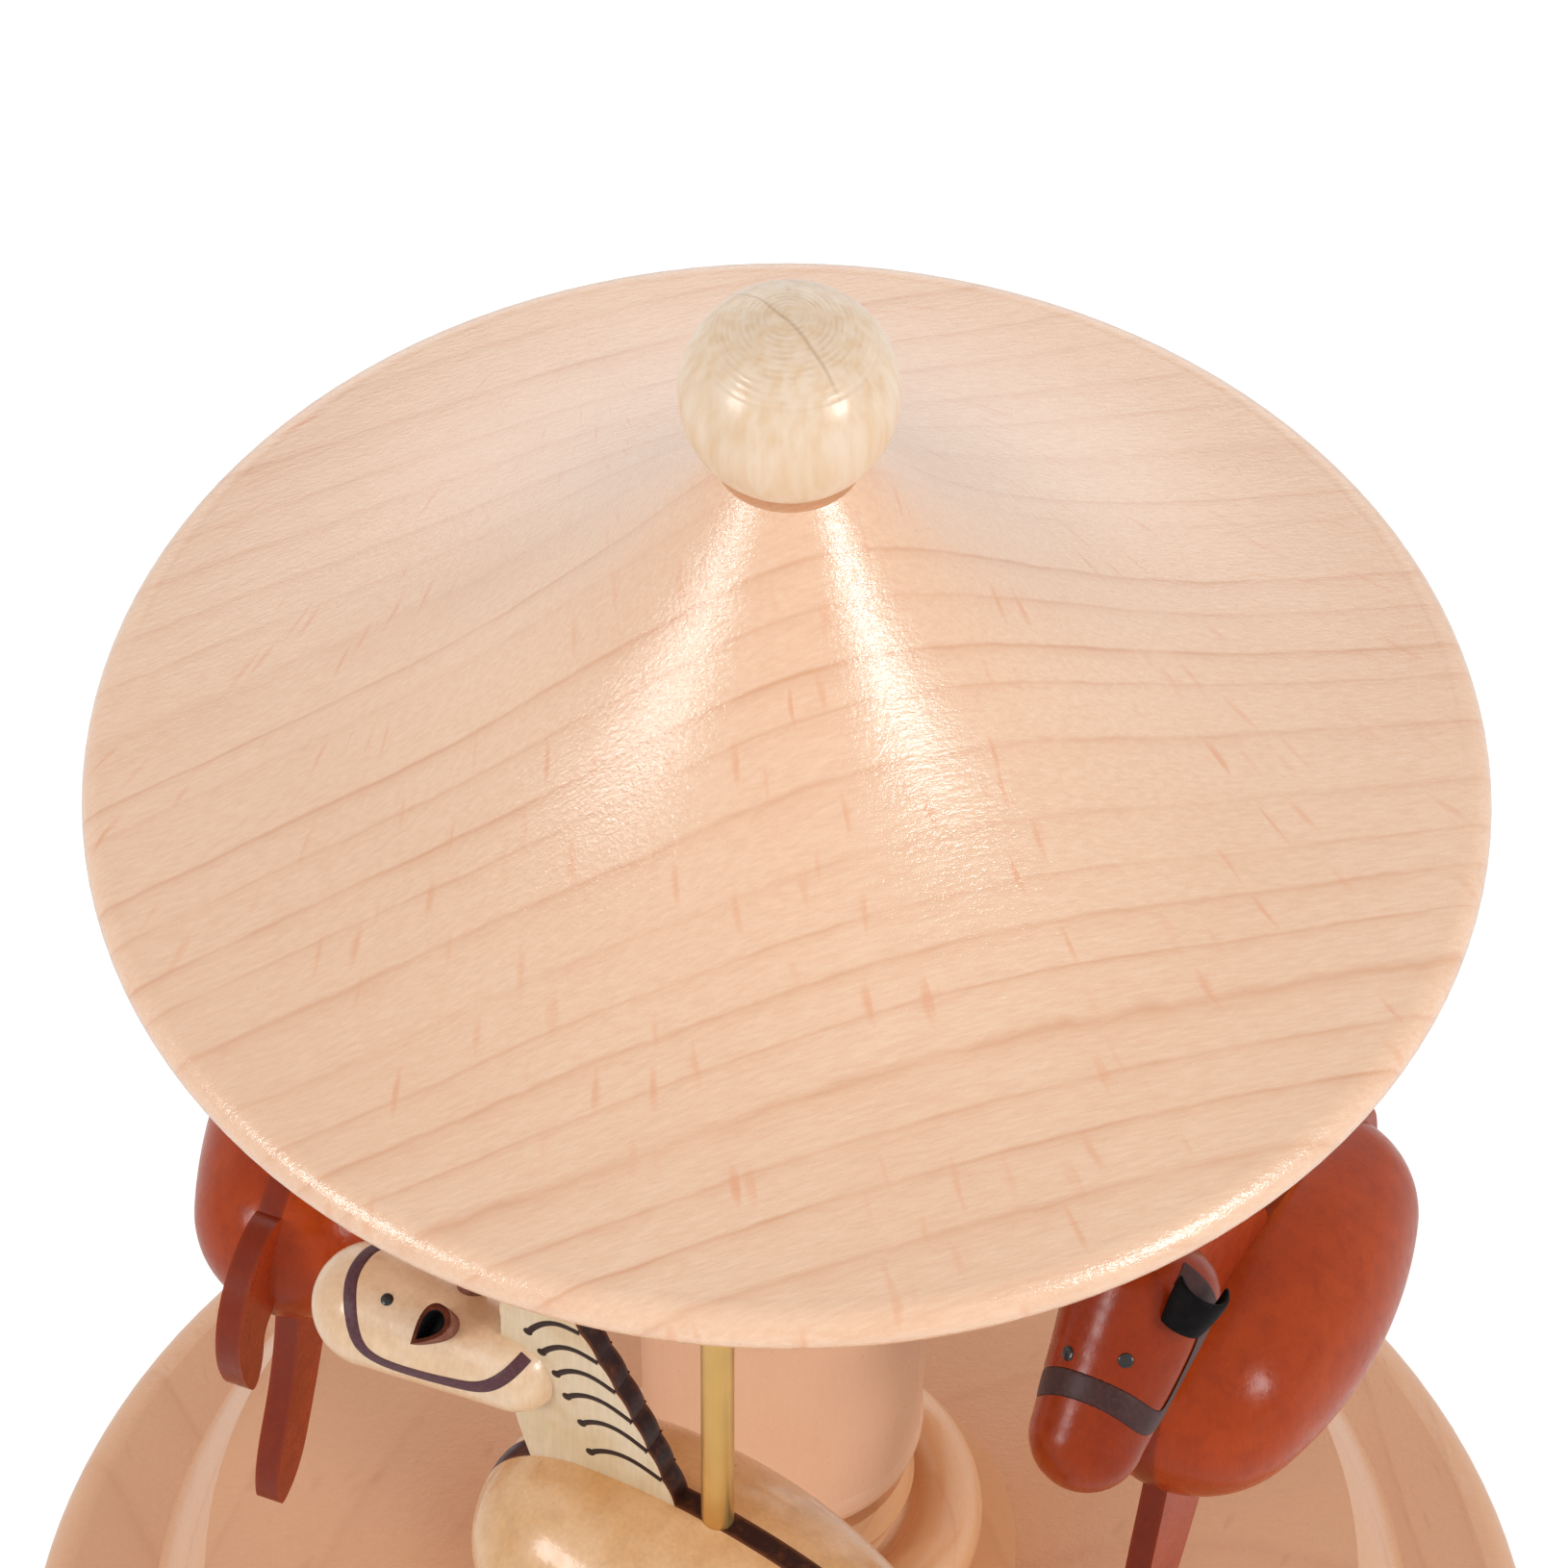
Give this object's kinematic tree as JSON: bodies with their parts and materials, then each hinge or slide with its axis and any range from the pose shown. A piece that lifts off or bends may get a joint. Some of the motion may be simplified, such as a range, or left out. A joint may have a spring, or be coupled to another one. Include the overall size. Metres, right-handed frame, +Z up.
{
  "type": "musical carousel",
  "caption": "Turned wooden carousel music box: horses hang on poles from a bell-shaped roof with a ball, turning on a round base with a spring movement inside.",
  "frame": {"origin": "on the turning axis, at the underside of the felt feet", "axes": "+Z up along the column; -Y is the side that the picture looks at; +X to its right"},
  "size_m": [0.126, 0.126, 0.198],
  "materials": {
    "roof_beech": "satin lacquered beech, growth lines right across the turned roof",
    "platform_beech": "satin lacquered beech",
    "base_beech": "satin lacquered beech",
    "column_beech": "satin lacquered beech",
    "ball_wood": "satin lacquered pale hardwood",
    "horse_pale": "satin lacquered pale hardwood with burnt edges",
    "horse_brown": "gloss reddish-brown stain and lacquer",
    "pole_brass": "matt drawn brass rod",
    "ear_leather": "black leather",
    "dowel_wood": "plain beech dowel",
    "cover_board": "plain plywood",
    "felt": "dark pressed felt",
    "washer_plastic": "moulded low-friction washer",
    "frame_casting": "die-cast, tumbled",
    "movement_brass": "machined brass",
    "bridge_steel": "plated pressed steel",
    "spring_steel": "blued spring steel",
    "screw_steel": "bright steel",
    "fan_steel": "thin sheet"
  },
  "bodies": {
    "base": {"base_body": "base_beech", "bottom_cover": "cover_board", "cover_screws": "screw_steel", "felt_feet": "felt", "slip_washer": "washer_plastic", "movement_frame": "frame_casting", "frame_screws": "screw_steel", "arbor_bush": "movement_brass", "spring_bridge": "bridge_steel", "bridge_screws": "screw_steel", "mainspring": "spring_steel", "comb": "spring_steel", "comb_screws": "screw_steel"},
    "carousel": {"turning_platform": "platform_beech", "platform_hub": "movement_brass", "hub_screws": "screw_steel", "drive_arbor": "screw_steel", "great_wheel": "movement_brass", "spring_barrel": "movement_brass", "column_base": "column_beech", "column": "column_beech", "column_foot_dowel": "dowel_wood", "column_top_dowel": "dowel_wood", "roof": "roof_beech", "ball_dowel": "dowel_wood", "roof_ball": "ball_wood", "horse_1_pole": "pole_brass", "horse_1_plate": "horse_pale", "horse_1_body_left": "horse_pale", "horse_1_body_right": "horse_pale", "horse_1_head": "horse_pale", "horse_1_ears": "ear_leather", "horse_2_pole": "pole_brass", "horse_2_plate": "horse_brown", "horse_2_body_left": "horse_brown", "horse_2_body_right": "horse_brown", "horse_2_head": "horse_brown", "horse_2_ears": "ear_leather", "horse_3_pole": "pole_brass", "horse_3_plate": "horse_pale", "horse_3_body_left": "horse_pale", "horse_3_body_right": "horse_pale", "horse_3_head": "horse_pale", "horse_3_ears": "ear_leather", "horse_4_pole": "pole_brass", "horse_4_plate": "horse_brown", "horse_4_body_left": "horse_brown", "horse_4_body_right": "horse_brown", "horse_4_head": "horse_brown", "horse_4_ears": "ear_leather"},
    "cylinder": {"tune_cylinder": "movement_brass", "cylinder_arbor": "screw_steel", "cylinder_pinion": "screw_steel", "cylinder_wheel": "movement_brass"},
    "second_shaft": {"second_arbor": "screw_steel", "second_wheel": "movement_brass"},
    "fly": {"fly_arbor": "screw_steel", "fly_fan": "fan_steel"}
  },
  "joints": [
    {"name": "carousel_spin", "type": "hinge", "parent": "base", "child": "carousel", "pos_m": [0, 0, 0.0348], "axis": [0, 0, 1], "continuous": true},
    {"name": "cylinder_spin", "type": "hinge", "parent": "base", "child": "cylinder", "pos_m": [0.0166, 0, 0.01775], "axis": [1, 0, 0], "continuous": true},
    {"name": "second_spin", "type": "hinge", "parent": "base", "child": "second_shaft", "pos_m": [0.0166, -0.00779, 0.01325], "axis": [1, 0, 0], "continuous": true},
    {"name": "fly_spin", "type": "hinge", "parent": "base", "child": "fly", "pos_m": [0.0166, -0.01619, 0.01325], "axis": [1, 0, 0], "continuous": true}
  ],
  "couplings": [
    {"joint": "cylinder_spin", "follows": "carousel_spin", "ratio": -3},
    {"joint": "second_spin", "follows": "carousel_spin", "ratio": 12},
    {"joint": "fly_spin", "follows": "carousel_spin", "ratio": -60}
  ]
}
